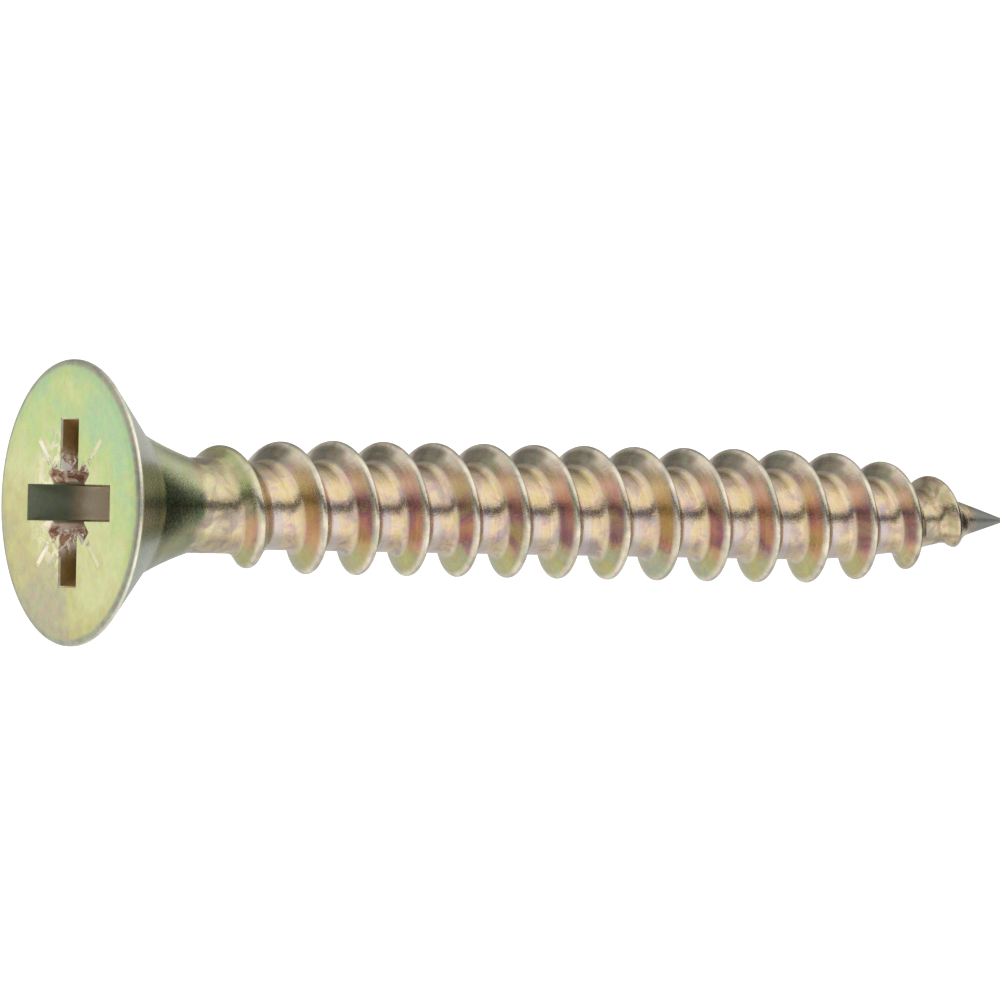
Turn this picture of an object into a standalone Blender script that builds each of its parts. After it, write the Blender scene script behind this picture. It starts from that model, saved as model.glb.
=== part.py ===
"""Countersunk wood screw, 4.0 x 30 mm, with a full-length thread and a type Z cross recess.

The screw stands on the Z axis with its head up. The origin is the centre of the head's flat top,
which finishes flush with the timber. Lengths are in metres, and depths are measured down from the top.
"""

import math

import bmesh
import bpy
from mathutils import Matrix

# Head, from its top down
HEAD_DIAMETER = 0.0079
RIM_WIDTH = 0.00040
RIM_DROP = 0.00010
LAND_HEIGHT = 0.00006
HEAD_ANGLE = math.radians(95.0)
CONE_END_DIAMETER = 0.0042
FLARE_LENGTH = 0.00185
FLARE_HOLLOW = 0.14

# Shank and point
SCREW_LENGTH = 0.0300
NECK_DIAMETER = 0.00264
NECK_LENGTH = 0.0013
NECK_TAPER_LENGTH = 0.0011
ROOT_DIAMETER = 0.00240
OGIVE_LENGTH = 0.0075
POINT_CONE_LENGTH = 0.0013
POINT_ANGLE = math.radians(35.0)

# Thread, right hand
THREAD_DIAMETER = 0.00370
PITCH = 0.00160
CREST_WIDTH = 0.00012
FLANK_ANGLE = math.radians(27.0)
RIDGE_SINK = 0.00018
CREST_ANGLE = math.radians(-90.0)
CREST_BELOW_FLARE = 0.00022
LEAD_SHIFT = 0.0006
LEAD_LENGTH = 0.00385
THREAD_START_BELOW_FLARE = 0.0004
BARE_POINT_LENGTH = 0.0013
RUN_IN_SPRING = 0.0006
RUN_IN_LENGTH = 0.0029
RUN_IN_SHARE = 0.42
RUN_OUT_SPRING = 0.0013
RUN_OUT_LENGTH = 0.0039
RUN_OUT_SHARE = 0.62
LEAST_RIDGE = 0.06

# Cross recess, type Z number 2
RECESS_DEPTH = 0.0023
WING_SPAN = 0.00465
WING_WIDTH = 0.00098
WING_END_SLOPE = math.radians(26.5)
NOTCH_SPAN = 0.00275
NOTCH_WIDTH = 0.00046
NOTCH_DEPTH = 0.0019
NOTCH_END_SLOPE = math.radians(13.0)
SIDE_SLOPE = math.radians(1.5)
CORE_DIAMETER = 0.00205
CORE_SLOPE = math.radians(7.0)
CORE_POINT_DEPTH = 0.00035
TICK_START_RADIUS = 0.00155
TICK_END_RADIUS = 0.00245
TICK_WIDTH = 0.00016
TICK_FLOOR_WIDTH = 0.00005
TICK_DEPTH = 0.00006
CUTTER_RISE = 0.0004

# Fineness of the faces
BODY_STEPS = 36
THREAD_STEPS = 28
CORE_STEPS = 20
RIM_STEPS = 4
FLARE_STEPS = 4
OGIVE_STEPS = 6
SHARP_ANGLE = math.radians(35.0)
POLE_MERGE = 1e-6


def clear_scene():
    for obj in list(bpy.data.objects):
        bpy.data.objects.remove(obj, do_unlink=True)


def new_collection(name):
    collection = bpy.data.collections.new(name)
    bpy.context.scene.collection.children.link(collection)
    return collection


def new_object(name, data, collection):
    obj = bpy.data.objects.new(name, data)
    collection.objects.link(obj)
    return obj


def move_to(obj, collection):
    for other in list(obj.users_collection):
        other.objects.unlink(obj)
    collection.objects.link(obj)


def yellow_zinc():
    """Bright zinc plating with a yellow passivation, over steel."""
    material = bpy.data.materials.new("yellow_zinc")
    material.use_nodes = True
    shader = material.node_tree.nodes["Principled BSDF"]
    shader.inputs["Base Color"].default_value = (0.62, 0.54, 0.28, 1.0)
    shader.inputs["Metallic"].default_value = 1.0
    shader.inputs["Roughness"].default_value = 0.32
    return material


def curve_points(start, handle, end, count):
    """Points after start, up to end, on the curve that leaves and arrives towards the handle."""
    points = []
    for i in range(1, count + 1):
        t = i / count
        weights = ((1 - t) ** 2, 2 * t * (1 - t), t * t)
        radius = sum(w * p[0] for w, p in zip(weights, (start, handle, end)))
        z = sum(w * p[1] for w, p in zip(weights, (start, handle, end)))
        points.append((radius, z))
    return points


def rim_profile():
    """The rounded edge of the head's top: a quarter of an ellipse."""
    flat_radius = HEAD_DIAMETER / 2 - RIM_WIDTH
    points = []
    for i in range(RIM_STEPS + 1):
        turn = math.pi / 2 * i / RIM_STEPS
        points.append((flat_radius + RIM_WIDTH * math.sin(turn), -RIM_DROP * (1 - math.cos(turn))))
    return points


def cone_end_depth():
    """Depth at which the countersunk cone has narrowed to CONE_END_DIAMETER."""
    drop = (HEAD_DIAMETER - CONE_END_DIAMETER) / 2 / math.tan(HEAD_ANGLE / 2)
    return RIM_DROP + LAND_HEIGHT + drop


def flare_end_depth():
    return cone_end_depth() + FLARE_LENGTH


def head_profile():
    """From the middle of the top, down the rim, the cone and the hollow flare, to the neck."""
    land_end = (HEAD_DIAMETER / 2, -(RIM_DROP + LAND_HEIGHT))
    cone_end = (CONE_END_DIAMETER / 2, -cone_end_depth())
    flare_end = (NECK_DIAMETER / 2, -flare_end_depth())
    inward = (0.5 + FLARE_HOLLOW / 2) * (cone_end[0] - flare_end[0])
    downward = (0.5 - FLARE_HOLLOW / 2) * FLARE_LENGTH
    handle = (cone_end[0] - inward, cone_end[1] - downward)
    flare = curve_points(cone_end, handle, flare_end, FLARE_STEPS)
    return [(0.0, 0.0)] + rim_profile() + [land_end, cone_end] + flare


def shank_profile():
    """The straight neck, its taper to the root, and the curve and cone of the point."""
    root = ROOT_DIAMETER / 2
    slope = math.tan(POINT_ANGLE / 2)
    neck_end = (NECK_DIAMETER / 2, -(flare_end_depth() + NECK_LENGTH))
    root_start = (root, neck_end[1] - NECK_TAPER_LENGTH)
    ogive_start = (root, OGIVE_LENGTH - SCREW_LENGTH)
    handle = (root, root / slope - SCREW_LENGTH)
    cone_start = (POINT_CONE_LENGTH * slope, POINT_CONE_LENGTH - SCREW_LENGTH)
    ogive = curve_points(ogive_start, handle, cone_start, OGIVE_STEPS)
    return [neck_end, root_start, ogive_start] + ogive + [(0.0, -SCREW_LENGTH)]


def radius_at(depth, profile):
    """Radius of the turned body at this depth below the head's top."""
    for (r0, z0), (r1, z1) in zip(profile[1:], profile[2:]):
        if -z0 < depth <= -z1:
            return r0 + (r1 - r0) * (depth + z0) / (z0 - z1)
    return 0.0


def make_body(profile, collection):
    """The headed blank, turned round Z. Its seam lies half a step off the X axis."""
    seam = math.pi / BODY_STEPS
    points = [(r * math.cos(seam), r * math.sin(seam), z) for r, z in profile]
    mesh = bpy.data.meshes.new("screw")
    mesh.from_pydata(points, [(i, i + 1) for i in range(len(points) - 1)], [])
    body = new_object("screw", mesh, collection)
    turning = body.modifiers.new("turning", "SCREW")
    turning.axis = "Z"
    turning.angle = 2 * math.pi
    turning.steps = BODY_STEPS
    turning.render_steps = BODY_STEPS
    turning.use_merge_vertices = True
    turning.merge_threshold = POLE_MERGE
    return body


def ridge_section(collection):
    """The thread's section: flat crest, sloping flanks, and a foot sunk in the shank."""
    height = (THREAD_DIAMETER - ROOT_DIAMETER) / 2
    half_crest = CREST_WIDTH / 2
    half_foot = half_crest + (height + RIDGE_SINK) * math.tan(FLANK_ANGLE)
    corners = [
        (RIDGE_SINK, -half_foot),
        (-height, -half_crest),
        (-height, half_crest),
        (RIDGE_SINK, half_foot),
    ]
    curve = bpy.data.curves.new("ridge_section", "CURVE")
    curve.dimensions = "2D"
    spline = curve.splines.new("POLY")
    spline.points.add(len(corners) - 1)
    for point, (inward, upward) in zip(spline.points, corners):
        point.co = (inward, upward, 0.0, 1.0)
    spline.use_cyclic_u = True
    return new_object("ridge_section", curve, collection)


def grown_ridge(distance, spring, growth, first_share):
    """Share of the full ridge this far from an end of the thread. It springs up, then grows on."""
    sprung = math.sin(math.pi / 2 * min(max(distance / spring, 0.0), 1.0))
    return sprung * (first_share + (1 - first_share) * min(max(distance / growth, 0.0), 1.0))


def ridge_scale(below_start, above_end):
    """Share of the full ridge at this distance from both ends of the thread."""
    share = grown_ridge(below_start, RUN_IN_SPRING, RUN_IN_LENGTH, RUN_IN_SHARE)
    share *= grown_ridge(above_end, RUN_OUT_SPRING, RUN_OUT_LENGTH, RUN_OUT_SHARE)
    return LEAST_RIDGE + (1 - LEAST_RIDGE) * share


def lead_shift(below_crest):
    """How far up the first turns lie, because the dies take the wire in with a longer lead."""
    t = min(max(below_crest / LEAD_LENGTH, 0.0), 1.0)
    return LEAD_SHIFT * (1 - t * t * (3 - 2 * t))


def thread_path(profile, collection):
    """The helix on the shank's surface that the ridge follows, from the neck down to the point."""
    crest_depth = flare_end_depth() + CREST_BELOW_FLARE
    start_depth = flare_end_depth() + THREAD_START_BELOW_FLARE
    end_depth = SCREW_LENGTH - BARE_POINT_LENGTH
    places = []
    for i in range(math.ceil(SCREW_LENGTH / PITCH) * THREAD_STEPS):
        below_crest = PITCH * i / THREAD_STEPS
        depth = crest_depth + below_crest - lead_shift(below_crest)
        if start_depth <= depth <= end_depth:
            places.append((depth, CREST_ANGLE - 2 * math.pi * i / THREAD_STEPS))
    curve = bpy.data.curves.new("thread_path", "CURVE")
    curve.dimensions = "3D"
    curve.twist_mode = "Z_UP"
    spline = curve.splines.new("POLY")
    spline.points.add(len(places) - 1)
    for point, (depth, angle) in zip(spline.points, places):
        radius = radius_at(depth, profile)
        point.co = (radius * math.cos(angle), radius * math.sin(angle), -depth, 1.0)
        point.radius = ridge_scale(depth - start_depth, end_depth - depth)
    return new_object("thread_path", curve, collection)


def make_thread(profile, collection):
    """The ridge as a closed mesh, swept along its helix."""
    section = ridge_section(collection)
    path = thread_path(profile, collection)
    path.data.bevel_mode = "OBJECT"
    path.data.bevel_object = section
    path.data.use_fill_caps = True
    bpy.context.view_layer.update()
    graph = bpy.context.evaluated_depsgraph_get()
    mesh = bpy.data.meshes.new_from_object(path.evaluated_get(graph))
    thread = new_object("thread", mesh, collection)
    thread.matrix_world = path.matrix_world
    swept = bmesh.new()
    swept.from_mesh(mesh)
    bmesh.ops.remove_doubles(swept, verts=swept.verts, dist=POLE_MERGE)
    bmesh.ops.recalc_face_normals(swept, faces=swept.faces)
    swept.to_mesh(mesh)
    swept.free()
    bpy.data.objects.remove(path, do_unlink=True)
    bpy.data.objects.remove(section, do_unlink=True)
    return thread


def tapered_block(name, size, end_slope, turn, collection):
    """A cutter that narrows downwards. Its size is its span, width and depth at the head's top."""
    span, width, depth = size
    bpy.ops.mesh.primitive_cube_add(size=1.0)
    block = bpy.context.active_object
    block.name = name
    for vertex in block.data.vertices:
        z = CUTTER_RISE if vertex.co.z > 0 else -depth
        x = span / 2 + z * math.tan(end_slope)
        y = width / 2 + z * math.tan(SIDE_SLOPE)
        vertex.co = (math.copysign(x, vertex.co.x), math.copysign(y, vertex.co.y), z)
    block.data.transform(Matrix.Rotation(turn, 4, "Z"))
    move_to(block, collection)
    return block


def recess_core(collection):
    """The round middle of the recess, with the blunt point that the punch leaves."""
    bpy.ops.mesh.primitive_cylinder_add(vertices=CORE_STEPS, radius=1.0, depth=1.0)
    core = bpy.context.active_object
    core.name = "recess_core"
    for vertex in core.data.vertices:
        z = CUTTER_RISE if vertex.co.z > 0 else -RECESS_DEPTH
        radius = CORE_DIAMETER / 2 + z * math.tan(CORE_SLOPE)
        vertex.co = (vertex.co.x * radius, vertex.co.y * radius, z)
    pointed = bmesh.new()
    pointed.from_mesh(core.data)
    floor = min(pointed.faces, key=lambda face: face.calc_center_median().z)
    middle = bmesh.ops.poke(pointed, faces=[floor])["verts"][0]
    middle.co.z = -(RECESS_DEPTH + CORE_POINT_DEPTH)
    pointed.to_mesh(core.data)
    pointed.free()
    move_to(core, collection)
    return core


def tick_groove(turn, collection):
    """One of the four shallow marks at 45 degrees that tell this recess from the plain cross."""
    bpy.ops.mesh.primitive_cube_add(size=1.0)
    tick = bpy.context.active_object
    tick.name = "recess_tick"
    side_slope = (TICK_WIDTH - TICK_FLOOR_WIDTH) / 2 / TICK_DEPTH
    for vertex in tick.data.vertices:
        z = CUTTER_RISE if vertex.co.z > 0 else -TICK_DEPTH
        x = TICK_END_RADIUS if vertex.co.x > 0 else TICK_START_RADIUS
        y = TICK_WIDTH / 2 + z * side_slope
        vertex.co = (x, math.copysign(y, vertex.co.y), z)
    tick.data.transform(Matrix.Rotation(turn, 4, "Z"))
    move_to(tick, collection)
    return tick


def recess_cutters(collection):
    """Everything that the heading punch presses into the top of the head."""
    wing = (WING_SPAN, WING_WIDTH, RECESS_DEPTH)
    notch = (NOTCH_SPAN, NOTCH_WIDTH, NOTCH_DEPTH)
    eighth = math.pi / 4
    cutters = [recess_core(collection)]
    for turn in (0, 2 * eighth):
        cutters.append(tapered_block("recess_wing", wing, WING_END_SLOPE, turn, collection))
        cutters.append(tapered_block("recess_notch", notch, NOTCH_END_SLOPE, turn + eighth, collection))
    for quarter in range(4):
        cutters.append(tick_groove((2 * quarter + 1) * eighth, collection))
    return cutters


def combine(target, tool, operation):
    """A live Boolean on target, with the tool kept as a hidden wire."""
    tool.hide_render = True
    tool.display_type = "WIRE"
    step = target.modifiers.new(tool.name, "BOOLEAN")
    step.operation = operation
    step.solver = "EXACT"
    step.object = tool


def make_screw(parts, tools):
    """One piece of steel: headed, punched with its recess, and thread rolled."""
    profile = head_profile() + shank_profile()
    screw = make_body(profile, parts)
    screw.data.materials.append(yellow_zinc())
    for cutter in recess_cutters(tools):
        combine(screw, cutter, "DIFFERENCE")
    combine(screw, make_thread(profile, tools), "UNION")
    screw.data.shade_smooth()
    screw.data.set_sharp_from_angle(angle=SHARP_ANGLE)


clear_scene()
wood_screw = new_collection("wood_screw")
wood_screw_tools = new_collection("wood_screw_tools")
wood_screw_tools.hide_render = True
make_screw(wood_screw, wood_screw_tools)
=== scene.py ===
"""Countersunk wood screw with a cross recess, in yellow-passivated zinc, standing in a light tent."""

import math

import bpy
from mathutils import Matrix, Vector


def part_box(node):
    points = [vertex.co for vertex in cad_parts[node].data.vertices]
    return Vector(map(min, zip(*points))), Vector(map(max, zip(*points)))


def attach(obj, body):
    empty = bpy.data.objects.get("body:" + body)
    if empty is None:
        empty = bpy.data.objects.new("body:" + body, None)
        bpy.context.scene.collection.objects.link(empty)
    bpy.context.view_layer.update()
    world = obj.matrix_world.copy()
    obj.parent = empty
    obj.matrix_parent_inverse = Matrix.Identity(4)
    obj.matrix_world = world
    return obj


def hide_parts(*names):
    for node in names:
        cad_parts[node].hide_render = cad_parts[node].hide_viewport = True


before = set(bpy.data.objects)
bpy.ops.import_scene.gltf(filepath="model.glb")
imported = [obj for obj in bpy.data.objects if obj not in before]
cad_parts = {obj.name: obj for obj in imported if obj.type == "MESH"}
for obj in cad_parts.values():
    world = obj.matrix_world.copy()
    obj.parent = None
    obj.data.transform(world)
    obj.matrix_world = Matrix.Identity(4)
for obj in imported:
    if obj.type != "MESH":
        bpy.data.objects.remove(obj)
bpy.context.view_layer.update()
MM = 0.001


# ---------------------------------------------------------------------------------------------
# Camera
# A long lens looks down on the head from 30 degrees, and is turned on its side, so that the
# screw lies across the view with its head to the left.
# ---------------------------------------------------------------------------------------------
screw_low, screw_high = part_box("screw")
head_top = Vector((0, 0, screw_high.z))

CAMERA_ELEVATION = math.radians(29.8)
CAMERA_DISTANCE = 850 * MM
AXIS_SLOPE = math.radians(1.1)
VIEW_WIDTH = 27.47 * MM
HEAD_LEFT_OF_CENTRE = 11.86 * MM
HEAD_BELOW_CENTRE = 0.075 * MM

toward_camera = Vector((0, -math.cos(CAMERA_ELEVATION), math.sin(CAMERA_ELEVATION)))
down_shank = (toward_camera.z * toward_camera - Vector((0, 0, 1))).normalized()
view_right = Matrix.Rotation(AXIS_SLOPE, 3, toward_camera) @ down_shank
view_up = toward_camera.cross(view_right)
aim = head_top + view_right * HEAD_LEFT_OF_CENTRE + view_up * HEAD_BELOW_CENTRE

camera = bpy.data.objects.new("camera", bpy.data.cameras.new("camera"))
bpy.context.scene.collection.objects.link(camera)
turned = Matrix((view_right, view_up, toward_camera)).transposed().to_4x4()
camera.matrix_world = Matrix.Translation(aim + toward_camera * CAMERA_DISTANCE) @ turned
camera.data.lens = camera.data.sensor_width * CAMERA_DISTANCE / VIEW_WIDTH
camera.data.clip_start = CAMERA_DISTANCE / 10
camera.data.clip_end = CAMERA_DISTANCE * 2
bpy.context.scene.camera = camera
bpy.context.scene.view_settings.view_transform = "Standard"


# ---------------------------------------------------------------------------------------------
# Light tent and floor
# White cloth stands all round the screw and lights it evenly. It is open above and below, and
# has an upright slit for the lens, so the bright metal also mirrors something dark.
# ---------------------------------------------------------------------------------------------
world = bpy.data.worlds.new("light_tent")
bpy.context.scene.world = world
world.use_nodes = True
tent = world.node_tree
tent.nodes.clear()


def add_node(tree, kind, inputs, **settings):
    """A shader node with its settings. Each named input gets a number, a colour or a link."""
    node = tree.nodes.new("ShaderNode" + kind)
    for name, value in settings.items():
        setattr(node, name, value)
    for name, value in inputs.items():
        if isinstance(value, bpy.types.NodeSocket):
            tree.links.new(value, node.inputs[name])
        else:
            node.inputs[name].default_value = value
    return node


def compute(tree, operation, *values):
    """A Math node on numbers or links."""
    return add_node(tree, "Math", dict(enumerate(values)), operation=operation).outputs[0]


def eased(tree, value, start, end, before=0.0, after=1.0):
    """Turns smoothly from one level to the other while the value goes from start to end."""
    inputs = {"Value": value, "From Min": start, "From Max": end, "To Min": before, "To Max": after}
    return add_node(tree, "MapRange", inputs, interpolation_type="SMOOTHSTEP").outputs["Result"]


def product(tree, value, *others):
    """Several numbers or links multiplied together."""
    for other in others:
        value = compute(tree, "MULTIPLY", value, other)
    return value


# Angles in degrees, sideways from the lens or up from level, and the share of white at each end.
LENS_SLIT = (8, 17, 0.05, 1.0)
OPEN_BOTTOM = (-72, -58, 0.03, 1.0)
OPEN_TOP = (50, 86, 1.0, 0.25)
SIDE_LIGHT = (62, 90, 0.2, -0.30)
LOW_SIDES = (18, -8)
GAP_AT = (136.0, -8.0)
GAP_WIDTH = (14, 34, 1.0, 0.0)
GAP_HEIGHT = (36, 48, 1.0, 0.0)
GAP_DIMMING = 0.52

outward = add_node(tent, "TexCoord", {}).outputs["Generated"]
direction = add_node(tent, "SeparateXYZ", {0: outward}).outputs
from_front = compute(tent, "ARCTAN2", direction["X"], compute(tent, "MULTIPLY", direction["Y"], -1.0))
from_front = compute(tent, "DEGREES", from_front)
elevation = compute(tent, "DEGREES", compute(tent, "ARCSINE", direction["Z"]))
to_side = compute(tent, "ABSOLUTE", from_front)

lens_slit = eased(tent, to_side, *LENS_SLIT)
bottom = eased(tent, elevation, *OPEN_BOTTOM)
top = eased(tent, elevation, *OPEN_TOP)
side_light = eased(tent, to_side, *SIDE_LIGHT)
low_sides = compute(tent, "MULTIPLY_ADD", side_light, eased(tent, elevation, *LOW_SIDES), 1.0)
beside_gap = compute(tent, "ABSOLUTE", compute(tent, "SUBTRACT", from_front, GAP_AT[0]))
above_gap = compute(tent, "ABSOLUTE", compute(tent, "SUBTRACT", elevation, GAP_AT[1]))
in_gap = product(tent, eased(tent, beside_gap, *GAP_WIDTH), eased(tent, above_gap, *GAP_HEIGHT))
back_gap = compute(tent, "MULTIPLY_ADD", in_gap, -GAP_DIMMING, 1.0)
cloth = product(tent, lens_slit, bottom, top, back_gap, low_sides)
is_seen = add_node(tent, "LightPath", {}).outputs["Is Camera Ray"]
strength = compute(tent, "MAXIMUM", cloth, is_seen)
glow = add_node(tent, "Background", {"Strength": strength, "Color": (1.0, 1.0, 1.0, 1.0)})
add_node(tent, "OutputWorld", {"Surface": glow.outputs[0]})

bpy.ops.object.select_all(action="DESELECT")
bpy.ops.mesh.primitive_plane_add(size=4.0, location=(0, 0, screw_low.z))
floor = bpy.context.active_object
floor.name = "floor"
floor.visible_glossy = False
floor.visible_shadow = False
paper = bpy.data.materials.new("white_paper")
paper.use_nodes = True
paper_shader = paper.node_tree.nodes["Principled BSDF"]
paper_shader.inputs["Base Color"].default_value = (0.9, 0.9, 0.9, 1.0)
paper_shader.inputs["Roughness"].default_value = 0.9
paper_shader.inputs["Emission Color"].default_value = (1.0, 1.0, 1.0, 1.0)
paper_shader.inputs["Emission Strength"].default_value = 0.5
floor.data.materials.append(paper)


# ---------------------------------------------------------------------------------------------
# Threaded shank
# The shank is steel wire, and two flat dies roll a ridge up out of it. The ridge rises at the
# neck within about one turn, keeps its height down the shank and dies away into the point.
# ---------------------------------------------------------------------------------------------
SCREW_LENGTH = screw_high.z - screw_low.z
NECK_RADIUS = 1.32 * MM
ROOT_RADIUS = 1.20 * MM
RIDGE_HEIGHT = 0.65 * MM
PITCH = 1.60 * MM
CREST_WIDTH = 0.12 * MM
CREST_ROUNDING = (0.045 * MM, 3)
ROOT_FILLET = (0.16 * MM, 5)
LONGEST_EDGE = 0.2 * MM
TOLERANCE = 0.001 * MM
FLANK_ANGLE = math.radians(27.0)
TURN_STEPS = 104
NECK_DEPTH = 3.705 * MM
NECK_END = 5.0 * MM
ROOT_START = 6.1 * MM
NEAR_CREST = 3.93 * MM
LEAD_SHIFT = 0.60 * MM
LEAD_LENGTH = 3.85 * MM
THREAD_START = 4.10 * MM
BARE_POINT = 1.30 * MM
RUN_IN = (0.60 * MM, 2.90 * MM, 0.42)
RUN_OUT = (1.30 * MM, 3.90 * MM, 0.62)
OGIVE_LENGTH = 7.5 * MM
POINT_CONE_LENGTH = 1.3 * MM
POINT_SLOPE = math.tan(math.radians(17.5))


def start_edit(piece, kind):
    """Opens one piece in edit mode with nothing selected, to work on its VERT, EDGE or FACE."""
    bpy.ops.object.select_all(action="DESELECT")
    piece.select_set(True)
    bpy.context.view_layer.objects.active = piece
    bpy.ops.object.mode_set(mode="EDIT")
    bpy.ops.mesh.select_mode(type=kind)
    bpy.ops.mesh.select_all(action="DESELECT")


def end_edit():
    bpy.ops.object.mode_set(mode="OBJECT")


def between(start, handle, end, t):
    """A point on the curve that leaves start and reaches end towards the handle."""
    return start * (1 - t) ** 2 + handle * 2 * t * (1 - t) + end * t * t


def shank_radius(depth):
    """Radius of the shank between the turns of the thread, at this depth below the head's top."""
    left = SCREW_LENGTH - depth
    if left <= POINT_CONE_LENGTH:
        return max(left, 0.0) * POINT_SLOPE
    if left < OGIVE_LENGTH:
        handle = ROOT_RADIUS / POINT_SLOPE
        a = OGIVE_LENGTH - 2 * handle + POINT_CONE_LENGTH
        b = 2 * (handle - OGIVE_LENGTH)
        t = (-b - math.sqrt(b * b - 4 * a * (OGIVE_LENGTH - left))) / (2 * a)
        return between(ROOT_RADIUS, ROOT_RADIUS, POINT_CONE_LENGTH * POINT_SLOPE, t)
    t = min(max((depth - NECK_END) / (ROOT_START - NECK_END), 0.0), 1.0)
    return NECK_RADIUS + (ROOT_RADIUS - NECK_RADIUS) * t * t * (3 - 2 * t)


def grown_ridge(distance, spring, growth, first_share):
    """Share of the full ridge this far from an end of the thread. It springs up, then grows on."""
    sprung = math.sin(math.pi / 2 * min(max(distance / spring, 0.0), 1.0))
    return sprung * (first_share + (1 - first_share) * min(max(distance / growth, 0.0), 1.0))


def ridge_share(depth):
    """Share of the full ridge that stands at this depth."""
    return grown_ridge(depth - THREAD_START, *RUN_IN) * grown_ridge(
        SCREW_LENGTH - BARE_POINT - depth, *RUN_OUT
    )


def lead_shift(depth):
    """How far up the first turns lie, because the dies take the wire in with a longer lead."""
    t = min(max((depth - NEAR_CREST) / LEAD_LENGTH, 0.0), 1.0)
    return LEAD_SHIFT * (1 - t * t * (3 - 2 * t))


# One turn's outline on the near side: half a root, up one flank, the crest, down, half a root.
half_foot = CREST_WIDTH / 2 + RIDGE_HEIGHT * math.tan(FLANK_ANGLE)
turns_above = math.ceil(NEAR_CREST / PITCH)
turns_below = math.ceil((SCREW_LENGTH - NEAR_CREST) / PITCH)
bottom_crest = screw_high.z - NEAR_CREST - turns_below * PITCH
half_root = PITCH / 2 - half_foot
flank_width = half_foot - CREST_WIDTH / 2

bpy.ops.object.select_all(action="DESELECT")
bpy.ops.mesh.primitive_plane_add(size=MM)
screw = bpy.context.active_object
screw.name = "zinc_plated_screw"
start_edit(screw, "VERT")
bpy.ops.mesh.select_all(action="SELECT")
bpy.ops.mesh.merge(type="CENTER")
bpy.ops.transform.translate(value=(0, -ROOT_RADIUS, bottom_crest + PITCH / 2))
for rise, fall in (
    (0, half_root),
    (RIDGE_HEIGHT, flank_width),
    (0, CREST_WIDTH),
    (-RIDGE_HEIGHT, flank_width),
    (0, half_root),
):
    bpy.ops.mesh.extrude_vertices_move(TRANSFORM_OT_translate={"value": (0, -rise, -fall)})
end_edit()


def bevel_outline(radius, width, segments):
    """Rounds the outline's corners at this radius from the axis."""
    start_edit(screw, "VERT")
    end_edit()
    for vertex in screw.data.vertices:
        at_end = abs(vertex.co.z - bottom_crest) > PITCH * 0.49
        vertex.select = abs(-vertex.co.y - radius) < TOLERANCE and not at_end
    bpy.ops.object.mode_set(mode="EDIT")
    bpy.ops.mesh.bevel(offset=width, segments=segments, affect="VERTICES")
    end_edit()


bevel_outline(ROOT_RADIUS, *ROOT_FILLET)
bevel_outline(ROOT_RADIUS + RIDGE_HEIGHT, *CREST_ROUNDING)

start_edit(screw, "EDGE")
end_edit()
for edge in screw.data.edges:
    a, b = (screw.data.vertices[v].co for v in edge.vertices)
    edge.select = (a - b).length > LONGEST_EDGE
bpy.ops.object.mode_set(mode="EDIT")
bpy.ops.mesh.subdivide(number_cuts=3)
end_edit()

rolling = screw.modifiers.new("rolling", "SCREW")
rolling.axis = "Z"
rolling.angle = 2 * math.pi
rolling.screw_offset = PITCH
rolling.iterations = turns_above + turns_below + 1
rolling.steps = TURN_STEPS
rolling.render_steps = TURN_STEPS
bpy.ops.object.modifier_apply(modifier="rolling")
start_edit(screw, "VERT")
bpy.ops.mesh.select_all(action="SELECT")
bpy.ops.mesh.remove_doubles(threshold=1e-6)
end_edit()

# The profile holds each place across the thread: toward the head or the point (1 or -1), toward
# the crest or the root (1 or -1), and the rise above the root. Then the thread takes its shape.
profile = screw.data.attributes.new("profile", "FLOAT_VECTOR", "POINT")
for vertex in screw.data.vertices:
    x, y, z = vertex.co
    radius = math.hypot(x, y)
    turn = (z - bottom_crest) / PITCH * 2 * math.pi - math.atan2(x, -y)
    rise = (radius - ROOT_RADIUS) / RIDGE_HEIGHT
    profile.data[vertex.index].vector = (math.sin(turn), math.cos(turn), rise)
    depth = screw_high.z - z
    depth -= lead_shift(depth)
    new_radius = shank_radius(depth) + (radius - ROOT_RADIUS) * ridge_share(depth)
    vertex.co = (x / radius * new_radius, y / radius * new_radius, screw_high.z - depth)


def cut_off(piece, height, above):
    """Cuts a piece straight across and leaves it open, with the new edge selected in edit mode."""
    start_edit(piece, "EDGE")
    bpy.ops.mesh.select_all(action="SELECT")
    bpy.ops.mesh.bisect(
        plane_co=(0, 0, height),
        plane_no=(0, 0, 1),
        clear_outer=above,
        clear_inner=not above,
        threshold=1e-7,
    )
    bpy.ops.mesh.remove_doubles(threshold=2 * TOLERANCE)


def draw_out(outline):
    """Extrudes the selected round edge along Z, through each (height, radius) of the outline."""
    for (z0, r0), (z1, r1) in zip(outline, outline[1:]):
        bpy.ops.mesh.extrude_region_move(TRANSFORM_OT_translate={"value": (0, 0, z1 - z0)})
        bpy.ops.transform.resize(value=(r1 / r0, r1 / r0, 1), center_override=(0, 0, z1))


# ---------------------------------------------------------------------------------------------
# Point
# The dies pinch the wire off into a sharp cone, which the thread leaves bare.
# ---------------------------------------------------------------------------------------------
POINT_BLUNT = 0.03 * MM
POINT_CUT = 1.25 * MM
POINT_CAP = 0.3 * POINT_BLUNT

point_outline = []
for left in (POINT_CUT, 0.9 * MM, 0.575 * MM, 0.3 * MM, POINT_BLUNT * 2.5, POINT_BLUNT):
    point_outline.append((screw_low.z + left, shank_radius(SCREW_LENGTH - left)))
point_outline.append((screw_low.z + POINT_CAP, POINT_BLUNT * 0.28))
cut_off(screw, screw_low.z + POINT_CUT, above=False)
draw_out(point_outline)
bpy.ops.mesh.extrude_region_move(TRANSFORM_OT_translate={"value": (0, 0, -POINT_CAP)})
bpy.ops.mesh.merge(type="CENTER")
end_edit()


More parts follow.
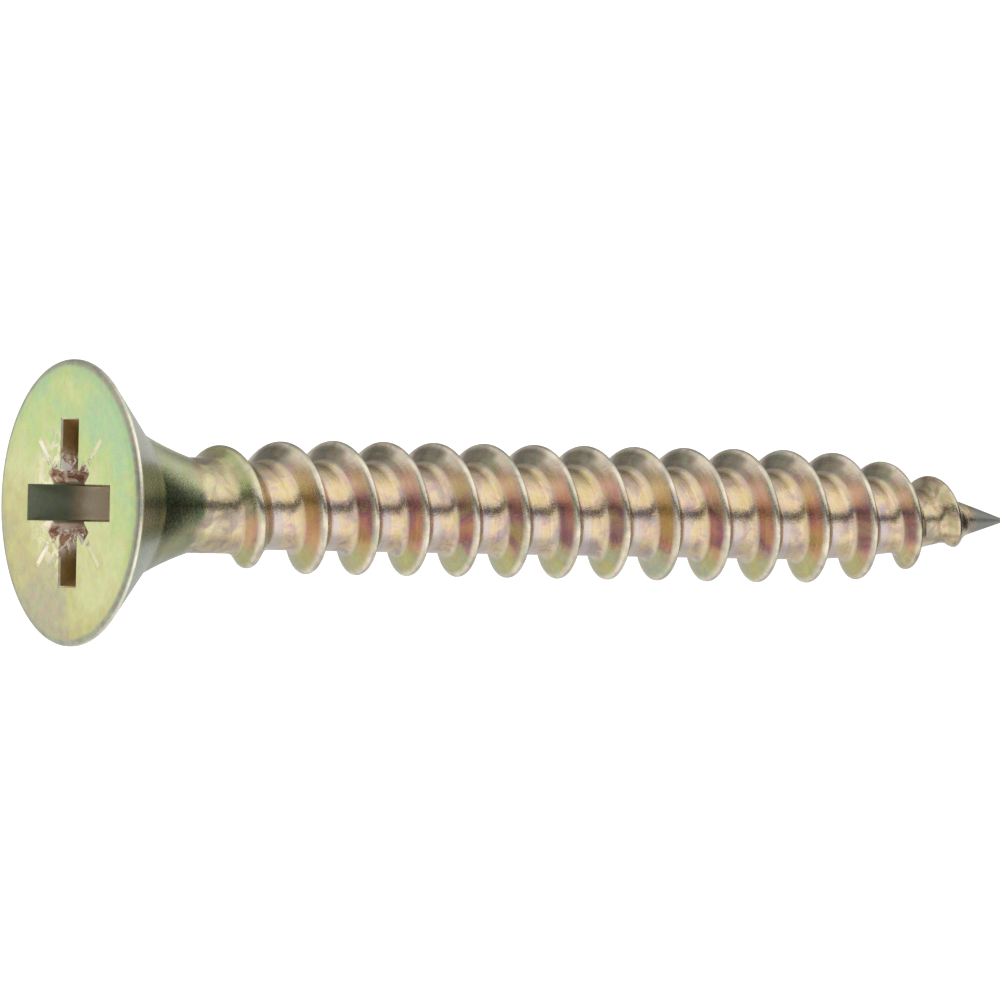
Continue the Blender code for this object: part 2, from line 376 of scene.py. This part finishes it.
# ---------------------------------------------------------------------------------------------
# Head
# The wire's end is upset into a countersunk head: a flat top, a rounded rim with a thin land
# under it, a straight cone and a hollow flare that runs out into the neck.
# ---------------------------------------------------------------------------------------------
HEAD_RADIUS = 3.95 * MM
RIM_WIDTH = 0.40 * MM
RIM_DROP = 0.10 * MM
LAND_HEIGHT = 0.06 * MM
CONE_END = (2.10 * MM, 1.855 * MM)
FLARE_END = (NECK_RADIUS, NECK_DEPTH)
FLARE_HOLLOW = 0.14
FLARE_STEPS = 12
CONE_STEPS = 5
RIM_STEPS = 8

flare_handle = [
    CONE_END[0] - (0.5 + FLARE_HOLLOW / 2) * (CONE_END[0] - FLARE_END[0]),
    CONE_END[1] + (0.5 - FLARE_HOLLOW / 2) * (FLARE_END[1] - CONE_END[1]),
]
head_outline = []
for i in range(FLARE_STEPS + 1):
    radius, depth = (
        between(a, b, c, i / FLARE_STEPS) for a, b, c in zip(FLARE_END, flare_handle, CONE_END)
    )
    head_outline.append((screw_high.z - depth, radius))
land_depth = RIM_DROP + LAND_HEIGHT
for i in range(1, CONE_STEPS + 1):
    t = i / CONE_STEPS
    radius = CONE_END[0] + (HEAD_RADIUS - CONE_END[0]) * t
    head_outline.append((screw_high.z - CONE_END[1] + (CONE_END[1] - land_depth) * t, radius))
for i in range(RIM_STEPS + 1):
    turn = math.pi / 2 * i / RIM_STEPS
    radius = HEAD_RADIUS - RIM_WIDTH * (1 - math.cos(turn))
    head_outline.append((screw_high.z - RIM_DROP * (1 - math.sin(turn)), radius))
cut_off(screw, screw_high.z - NECK_DEPTH, above=True)
draw_out(head_outline)
bpy.ops.mesh.edge_face_add()
bpy.ops.mesh.select_all(action="SELECT")
bpy.ops.mesh.normals_make_consistent(inside=False)
end_edit()


# ---------------------------------------------------------------------------------------------
# Cross recess
# A punch presses it while the head is formed: four wings, four notches between them, a round
# middle with the punch's blunt point, and four shallow marks at 45 degrees on the face.
# ---------------------------------------------------------------------------------------------
RECESS_DEPTH = 2.3 * MM
WING = (4.65 * MM, 0.98 * MM, RECESS_DEPTH, math.radians(26.5))
NOTCH = (2.75 * MM, 0.46 * MM, 1.9 * MM, math.radians(13.0))
SIDE_SLOPE = math.radians(1.5)
CORE_RADIUS = 1.025 * MM
CORE_SLOPE = math.radians(7.0)
CORE_POINT = 0.35 * MM
TICK_ENDS = (1.55 * MM, 2.45 * MM)
TICK_WIDTH = 0.20 * MM
TICK_DEPTH = 0.06 * MM
TICK_BOTTOM = 0.12
PUNCH_RISE = 0.4 * MM
MOUTH_ROUNDING = 0.035 * MM
MOUTH_RADIUS = 2.6 * MM


def narrow_below(factor_x, factor_y):
    """Scales the lower face of the punch piece in edit mode about the screw's axis."""
    bpy.ops.transform.resize(value=(factor_x, factor_y, 1), center_override=(0, 0, 0))


def select_level(piece, height):
    """Selects the faces that lie flat at this height, and stays in edit mode."""
    start_edit(piece, "FACE")
    end_edit()
    for face in piece.data.polygons:
        face.select = abs(face.normal.z) > 0.99 and abs(face.center.z - height) < 2 * TOLERANCE
    bpy.ops.object.mode_set(mode="EDIT")


def punch_block(name, size, turn):
    """A tapered bar through the axis that narrows downwards. Its size is given at the head's top."""
    span, width, depth, end_slope = size
    span_above = span + 2 * PUNCH_RISE * math.tan(end_slope)
    width_above = width + 2 * PUNCH_RISE * math.tan(SIDE_SLOPE)
    fall = depth + PUNCH_RISE
    bpy.ops.object.select_all(action="DESELECT")
    bpy.ops.mesh.primitive_cube_add(
        size=1,
        location=(0, 0, screw_high.z + PUNCH_RISE - fall / 2),
        scale=(span_above, width_above, fall),
    )
    block = bpy.context.active_object
    block.name = name
    bpy.ops.object.transform_apply()
    select_level(block, screw_high.z - depth)
    narrow_below(
        1 - 2 * fall * math.tan(end_slope) / span_above, 1 - 2 * fall * math.tan(SIDE_SLOPE) / width_above
    )
    end_edit()
    block.data.transform(Matrix.Rotation(turn, 4, "Z"))
    return block


def punch_core():
    """The round middle of the punch with its blunt point."""
    fall = RECESS_DEPTH + PUNCH_RISE
    radius_above = CORE_RADIUS + PUNCH_RISE * math.tan(CORE_SLOPE)
    bpy.ops.object.select_all(action="DESELECT")
    bpy.ops.mesh.primitive_cylinder_add(
        vertices=64,
        radius=radius_above,
        depth=fall,
        location=(0, 0, screw_high.z + PUNCH_RISE - fall / 2),
    )
    core = bpy.context.active_object
    core.name = "punch_core"
    bpy.ops.object.transform_apply()
    select_level(core, screw_high.z - RECESS_DEPTH)
    factor = 1 - fall * math.tan(CORE_SLOPE) / radius_above
    narrow_below(factor, factor)
    for drop in (0.55, 0.3):
        bpy.ops.mesh.inset(thickness=CORE_RADIUS * factor * 0.3)
        bpy.ops.transform.translate(value=(0, 0, -CORE_POINT * drop))
    bpy.ops.mesh.poke()
    end_edit()
    return core


def punch_tick(turn):
    """The raised line of the punch that presses one mark."""
    start, end = TICK_ENDS
    bpy.ops.object.select_all(action="DESELECT")
    bpy.ops.mesh.primitive_cube_add(
        size=1,
        location=((start + end) / 2, 0, screw_high.z),
        scale=(end - start, 2 * TICK_WIDTH, 2 * TICK_DEPTH),
    )
    tick = bpy.context.active_object
    tick.name = "punch_tick"
    bpy.ops.object.transform_apply()
    select_level(tick, screw_high.z - TICK_DEPTH)
    narrow_below(1, TICK_BOTTOM)
    end_edit()
    tick.data.transform(Matrix.Rotation(turn, 4, "Z"))
    return tick


def combine(target, tool, operation):
    """Joins one closed piece to the target, or cuts it out, and removes it."""
    bpy.context.view_layer.objects.active = target
    step = target.modifiers.new("combine", "BOOLEAN")
    step.operation = operation
    step.solver = "EXACT"
    step.object = tool
    bpy.ops.object.modifier_apply(modifier="combine")
    bpy.data.objects.remove(tool, do_unlink=True)


eighth = math.pi / 4
punch = punch_core()
for quarter in range(2):
    combine(punch, punch_block("punch_wing", WING, 2 * quarter * eighth), "UNION")
    combine(punch, punch_block("punch_notch", NOTCH, (2 * quarter + 1) * eighth), "UNION")
for quarter in range(4):
    combine(punch, punch_tick((2 * quarter + 1) * eighth), "UNION")
combine(screw, punch, "DIFFERENCE")


def top_border(piece):
    """The edges that bound the flat top, in pairs of vertex numbers."""
    border = {}
    for face in piece.data.polygons:
        in_top = face.normal.z > 0.999 and abs(face.center.z - screw_high.z) < TOLERANCE
        for key in face.edge_keys:
            border.setdefault(key, []).append(in_top)
    return {key for key, in_top in border.items() if sorted(in_top) == [False, True]}


mouth = top_border(screw)
start_edit(screw, "EDGE")
end_edit()
for edge in screw.data.edges:
    start, end = (screw.data.vertices[v].co.xy for v in edge.vertices)
    edge.select = edge.key in mouth and (start + end).length / 2 < MOUTH_RADIUS
bpy.ops.object.mode_set(mode="EDIT")
bpy.ops.mesh.bevel(offset=MOUTH_ROUNDING, segments=3, affect="EDGES")
end_edit()

bpy.ops.object.select_all(action="DESELECT")
screw.select_set(True)
bpy.context.view_layer.objects.active = screw
bpy.ops.object.shade_smooth_by_angle(angle=math.radians(30))
mouth = top_border(screw)
for edge in screw.data.edges:
    if edge.key in mouth:
        edge.use_edge_sharp = True


# ---------------------------------------------------------------------------------------------
# Yellow-passivated zinc
# A few microns of bright zinc, dipped in chromate. The film is thick in the hollows and thin
# on rubbed edges, so its colour wanders from straw and peach through bronze to violet and green.
# ---------------------------------------------------------------------------------------------
def shade(red, green, blue):
    """A colour given as it shows, 0 to 255, in the shader's linear values."""
    levels = [value / 255 for value in (red, green, blue)]
    return tuple(v / 12.92 if v <= 0.04045 else ((v + 0.055) / 1.055) ** 2.4 for v in levels) + (1.0,)


def film(tree, thickness, *tints):
    """The film's colour where its thickness goes from 0 to 1, evenly through these tints."""
    node = add_node(tree, "ValToRGB", {"Fac": thickness})
    stops = node.color_ramp.elements
    stops[0].color = shade(*tints[0])
    stops[1].color = shade(*tints[-1])
    for i, tint in enumerate(tints[1:-1]):
        stops.new((i + 1) / (len(tints) - 1)).color = shade(*tint)
    return node.outputs["Color"]


def lay_over(tree, share, under, over, way="MIX"):
    """One colour over another, by its share of the surface."""
    node = tree.nodes.new("ShaderNodeMix")
    node.data_type = "RGBA"
    node.blend_type = way
    for socket, value in zip((node.inputs[0], node.inputs[6], node.inputs[7]), (share, under, over)):
        if isinstance(value, bpy.types.NodeSocket):
            tree.links.new(value, socket)
        else:
            socket.default_value = value
    return node.outputs[2]


def noise(tree, place, scale, detail=2.0, roughness=0.5, distortion=0.0, result=0):
    """Noise between 0 and 1, with this many features to the unit of the place."""
    inputs = {"Vector": place, "Scale": scale, "Detail": detail, "Roughness": roughness}
    inputs["Distortion"] = distortion
    return add_node(tree, "TexNoise", inputs).outputs[result]


def place_math(tree, operation, inputs, result="Vector"):
    """A sum on places, with its inputs as add_node takes them."""
    return add_node(tree, "VectorMath", inputs, operation=operation).outputs[result]


yellow_zinc = bpy.data.materials.new("yellow_zinc")
yellow_zinc.use_nodes = True
zinc = yellow_zinc.node_tree
shader = zinc.nodes["Principled BSDF"]

# Places on the screw, in millimetres: depth below the top, radius, and place across the thread.
object_place = add_node(zinc, "TexCoord", {}).outputs["Object"]
place = place_math(zinc, "SCALE", {0: object_place, "Scale": 1 / MM})
place_xyz = add_node(zinc, "SeparateXYZ", {0: place}).outputs
depth = compute(zinc, "MULTIPLY", place_xyz["Z"], -1.0)
flat_place = place_math(zinc, "MULTIPLY", {0: place, 1: (1.0, 1.0, 0.0)})
radius = place_math(zinc, "LENGTH", {0: flat_place}, result="Value")
across = add_node(zinc, "Attribute", {}, attribute_name="profile").outputs["Vector"]
across_xyz = add_node(zinc, "SeparateXYZ", {0: across}).outputs

patches = eased(zinc, noise(zinc, place, 0.52, 3.0, 0.55, 0.6), 0.31, 0.69)
mottle = eased(zinc, noise(zinc, place, 1.7, 3.0, 0.6, 0.5), 0.3, 0.7)
spots = eased(zinc, noise(zinc, place, 3.6, 2.0, 0.6, 0.4), 0.36, 0.6)
grain = noise(zinc, place, 9.0, 3.0, 0.65)
fine_grain = noise(zinc, place, 34.0, 2.0, 0.6)

# Rolling marks run along the thread, and change slowly down the shank.
thread_axes = {"X": across_xyz["X"], "Y": across_xyz["Y"], "Z": depth}
along_thread = add_node(zinc, "CombineXYZ", thread_axes).outputs[0]
rolled_place = place_math(zinc, "MULTIPLY", {0: along_thread, 1: (5.0, 5.0, 0.9)})
rolling_marks = noise(zinc, rolled_place, 1.0, 4.0, 0.65)

# Shares of the surface. Depths and radii are in millimetres. The side turn is 0 in front and
# behind, and 1 or -1 at the sides.
side_turn = compute(zinc, "DIVIDE", place_xyz["X"], radius)
off_middle = compute(zinc, "ABSOLUTE", side_turn)
toward_head = across_xyz["X"]
rise = across_xyz["Z"]
in_front = product(zinc, eased(zinc, place_xyz["Y"], 0.0, -0.4), eased(zinc, off_middle, 0.48, 0.1))
on_sides = eased(zinc, off_middle, 0.5, 0.95)
on_right = eased(zinc, side_turn, -0.2, 0.5)
in_thread = eased(zinc, depth, 4.0, 4.5)
on_ridge = product(zinc, in_thread, eased(zinc, rise, 0.06, 0.26))
on_crest = product(zinc, in_thread, eased(zinc, rise, 0.72, 0.98))
on_head_side = product(zinc, on_ridge, eased(zinc, toward_head, -0.1, 0.4))
right_share = compute(zinc, "MULTIPLY_ADD", on_right, 0.5, 0.2)
on_first_turn = product(zinc, eased(zinc, depth, 5.9, 4.9), right_share, 0.75)
on_last_turns = eased(zinc, depth, 25.4, 27.4, 0.0, 0.65)
on_bare_point = eased(zinc, compute(zinc, "MULTIPLY_ADD", grain, 0.5, depth), 28.8, 29.2)
on_neck = eased(zinc, depth, 4.8, 4.2)
on_flare = eased(zinc, compute(zinc, "MULTIPLY_ADD", in_front, -0.25, depth), 3.5, 3.15)
on_cone = eased(zinc, depth, 2.1, 1.5)
on_rim = product(zinc, eased(zinc, depth, 0.30, 0.16), eased(zinc, radius, 3.4, 3.6))
on_top = eased(zinc, depth, 0.03, 0.008)
inside = compute(zinc, "MULTIPLY_ADD", depth, 0.45, radius)
in_recess = product(zinc, eased(zinc, inside, 2.66, 2.60), eased(zinc, depth, 0.008, 0.03))

# Between the turns the film is peach and cream. Toward the point side's fillet, most on the -X side, a
# pale lavender is laid over it as a painted highlight.
mottled = compute(zinc, "MULTIPLY_ADD", side_turn, 0.18, mottle)
root_colour = film(zinc, mottled, (200, 182, 176), (226, 200, 174), (238, 216, 178), (230, 208, 156))
lavender_highlight_share = product(
    zinc, eased(zinc, toward_head, 0.2, -0.7), eased(zinc, side_turn, 0.25, -0.25, 0.15, 0.75)
)
root_colour = lay_over(zinc, lavender_highlight_share, root_colour, shade(220, 210, 208))

# The flanks that face the head are bronze and violet, with olive at the -X side. Toward +X the bronze is
# painted lighter as a painted highlight, and the grey at the +X side is a painted dark reflection.
bronze = film(zinc, patches, (212, 172, 116), (214, 152, 132), (172, 122, 134), (200, 176, 126))
bronze_highlight = film(zinc, patches, (248, 216, 168), (250, 204, 186), (232, 206, 158))
bronze = lay_over(zinc, eased(zinc, side_turn, 0.1, 0.55), bronze, bronze_highlight)
left_olive = film(zinc, patches, (182, 184, 140), (190, 182, 112), (172, 180, 150))
grey_dark_reflection = film(zinc, patches, (150, 144, 126), (166, 152, 138), (142, 142, 118))
head_side_colour = lay_over(zinc, on_sides, bronze, lay_over(zinc, on_right, left_olive, grey_dark_reflection))
# A pale cream strip on the outer flank toward the +X side is a painted highlight.
flank_highlight_share = product(
    zinc,
    eased(zinc, side_turn, 0.58, 0.72),
    eased(zinc, side_turn, 0.94, 0.86),
    eased(zinc, rise, 0.35, 0.75, 0.0, 0.6),
)
head_side_colour = lay_over(zinc, flank_highlight_share, head_side_colour, shade(250, 236, 212))
# At the +X edge the flank is painted dark, as a painted dark reflection.
lobe_dark_reflection = film(zinc, mottle, (112, 104, 84), (146, 142, 122))
lobe_reflection_share = eased(zinc, side_turn, 0.90, 0.97, 0.0, 0.7)
head_side_colour = lay_over(zinc, lobe_reflection_share, head_side_colour, lobe_dark_reflection)
green_start = film(zinc, mottle, (128, 156, 88), (172, 184, 122))
green_share = product(zinc, eased(zinc, depth, 5.7, 5.0), eased(zinc, side_turn, -0.5, 0.2, 0.0, 0.75))
head_side_colour = lay_over(zinc, green_share, head_side_colour, green_start)
point_side_colour = film(zinc, patches, (238, 234, 220), (232, 230, 222), (226, 230, 222))
crest_colour = film(zinc, mottle, (205, 202, 184), (232, 220, 198), (250, 240, 220))
first_turn_colour = film(zinc, mottle, (176, 190, 134), (190, 200, 140), (204, 194, 168))
last_turns_colour = film(zinc, mottle, (146, 130, 96), (196, 180, 144), (238, 224, 190))

# Under the head it is green in the hollow, grey green on the cone and pale on the land. The flare and
# cone are painted lighter on the +X side than on the -X side, as painted light.
neck_colour = film(zinc, mottled, (162, 146, 130), (186, 172, 150), (204, 190, 152), (214, 202, 162))
flare_painted_dark_side = film(zinc, patches, (134, 144, 104), (146, 148, 114), (166, 164, 126))
flare_painted_light_side = film(zinc, patches, (194, 212, 152), (204, 208, 162), (210, 216, 180))
# The dark green in front of the flare is a painted dark reflection.
flare_front_reflection = film(zinc, mottle, (104, 128, 104), (124, 132, 96), (128, 134, 110))
flare_colour = lay_over(zinc, on_right, flare_painted_dark_side, flare_painted_light_side)
flare_colour = lay_over(zinc, in_front, flare_colour, flare_front_reflection)
cone_painted_dark_side = film(zinc, patches, (170, 168, 152), (150, 166, 140), (164, 168, 138))
cone_painted_light_side = film(zinc, patches, (188, 184, 170), (176, 180, 156), (184, 188, 160))
cone_colour = lay_over(zinc, on_right, cone_painted_dark_side, cone_painted_light_side)
# The dark green in front of the cone is a painted dark reflection.
cone_colour = lay_over(zinc, product(zinc, in_front, 0.85), cone_colour, shade(106, 122, 98))
# The rim is painted a darker grey olive than the land, as a painted dark reflection.
rim_colour = film(zinc, mottle, (154, 154, 136), (176, 175, 154), (160, 166, 140))
land_colour = film(zinc, mottle, (226, 222, 204), (240, 234, 214), (214, 218, 196))
rim_colour = lay_over(zinc, eased(zinc, depth, 0.05, 0.11), rim_colour, land_colour)

# On the top it runs from mint through yellow green and straw to khaki and grey.
top_run = place_math(zinc, "DOT_PRODUCT", {0: place, 1: (-0.13, 0.07, 0.0)}, result="Value")
top_drift = compute(zinc, "MULTIPLY_ADD", noise(zinc, place, 0.5, 2.0, 0.5, 0.8), 1.1, -0.08)
top_run = compute(zinc, "ADD", top_run, top_drift)
top_run = compute(zinc, "MULTIPLY_ADD", compute(zinc, "SUBTRACT", mottle, 0.5), 0.14, top_run)
top_tints = ((180, 207, 158), (196, 210, 142), (212, 214, 158), (202, 196, 136), (188, 182, 148))
top_colour = film(zinc, top_run, *top_tints)

# Round the mouth the top turns a patchy cream, most on the far (+Y) side.
mouth_cream_share = product(
    zinc,
    eased(zinc, radius, 2.5, 1.4),
    eased(zinc, place_xyz["Y"], -0.6, 0.5),
    eased(zinc, noise(zinc, place, 3.0, 3.0, 0.7, 0.6), 0.42, 0.58),
    0.8,
)
top_colour = lay_over(zinc, mouth_cream_share, top_colour, shade(250, 236, 208))

# In the recess the wings' ends are brown and the slot is dark near its mouth. The middle is cream, and
# its pale spots are painted glints.
along_wing = compute(zinc, "ABSOLUTE", place_xyz["X"])
recess_colour = film(zinc, spots, (190, 154, 126), (242, 218, 196), (255, 250, 244))
recess_colour = lay_over(zinc, eased(zinc, along_wing, 1.05, 1.7), recess_colour, shade(164, 140, 98))
slot_colour = film(zinc, eased(zinc, depth, 0.9, 1.7), (130, 136, 112), (196, 178, 146), (255, 240, 218))
recess_colour = lay_over(zinc, eased(zinc, along_wing, 0.62, 0.5), recess_colour, slot_colour)
in_mark = product(
    zinc,
    eased(zinc, depth, 0.075, 0.06),
    eased(zinc, inside, 1.56, 1.6),
    eased(zinc, along_wing, 0.7, 0.8),
)
# The marks are pale, and painted lighter toward the far (+Y) side as a painted highlight.
mark_tint_and_highlight = film(zinc, eased(zinc, place_xyz["Y"], -0.4, 0.4), (232, 230, 190), (255, 248, 226))
recess_colour = lay_over(zinc, in_mark, recess_colour, mark_tint_and_highlight)

colour = root_colour
for share, zone_colour in (
    (on_ridge, point_side_colour),
    (on_head_side, head_side_colour),
    (on_crest, crest_colour),
    (on_first_turn, first_turn_colour),
    (on_last_turns, last_turns_colour),
    (on_neck, neck_colour),
    (on_flare, flare_colour),
    (on_cone, cone_colour),
    (on_rim, rim_colour),
    (on_top, top_colour),
    (in_recess, recess_colour),
):
    colour = lay_over(zinc, share, colour, zone_colour)

# A fine grain of tints lies over all of it, and rolling marks over the thread.
tints = noise(zinc, place, 4.5, 2.0, 0.6, 0.3, result=1)
colour = lay_over(zinc, 0.28, colour, tints, "OVERLAY")
streaks = film(zinc, rolling_marks, (165, 156, 146), (255, 255, 255))
colour = lay_over(zinc, product(zinc, in_thread, 0.5), colour, streaks, "MULTIPLY")
colour = lay_over(zinc, on_bare_point, colour, film(zinc, grain, (136, 137, 131), (160, 160, 154)))
zinc.links.new(colour, shader.inputs["Base Color"])

# The crushed zinc at the middle of the recess is duller and paler than the bright metal.
crushed = product(
    zinc, in_recess, eased(zinc, along_wing, 1.5, 1.1), eased(zinc, along_wing, 0.52, 0.64)
)
zinc.links.new(compute(zinc, "MULTIPLY_ADD", crushed, -0.45, 1.0), shader.inputs["Metallic"])
roughness = compute(zinc, "MULTIPLY_ADD", grain, 0.22, 0.14)
for share, added in ((on_rim, 0.14), (in_recess, 0.12), (on_bare_point, 0.15)):
    roughness = compute(zinc, "MULTIPLY_ADD", share, added, roughness)
zinc.links.new(roughness, shader.inputs["Roughness"])

height = compute(zinc, "ADD", grain, product(zinc, rolling_marks, in_thread))
height = compute(zinc, "MULTIPLY_ADD", fine_grain, 0.25, height)
height = compute(zinc, "ADD", height, product(zinc, crushed, spots, 7.0))
bump = add_node(zinc, "Bump", {"Height": height, "Strength": 1.0, "Distance": 0.006 * MM})
zinc.links.new(bump.outputs["Normal"], shader.inputs["Normal"])

screw.data.materials.append(yellow_zinc)
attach(screw, "root")
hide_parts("screw")
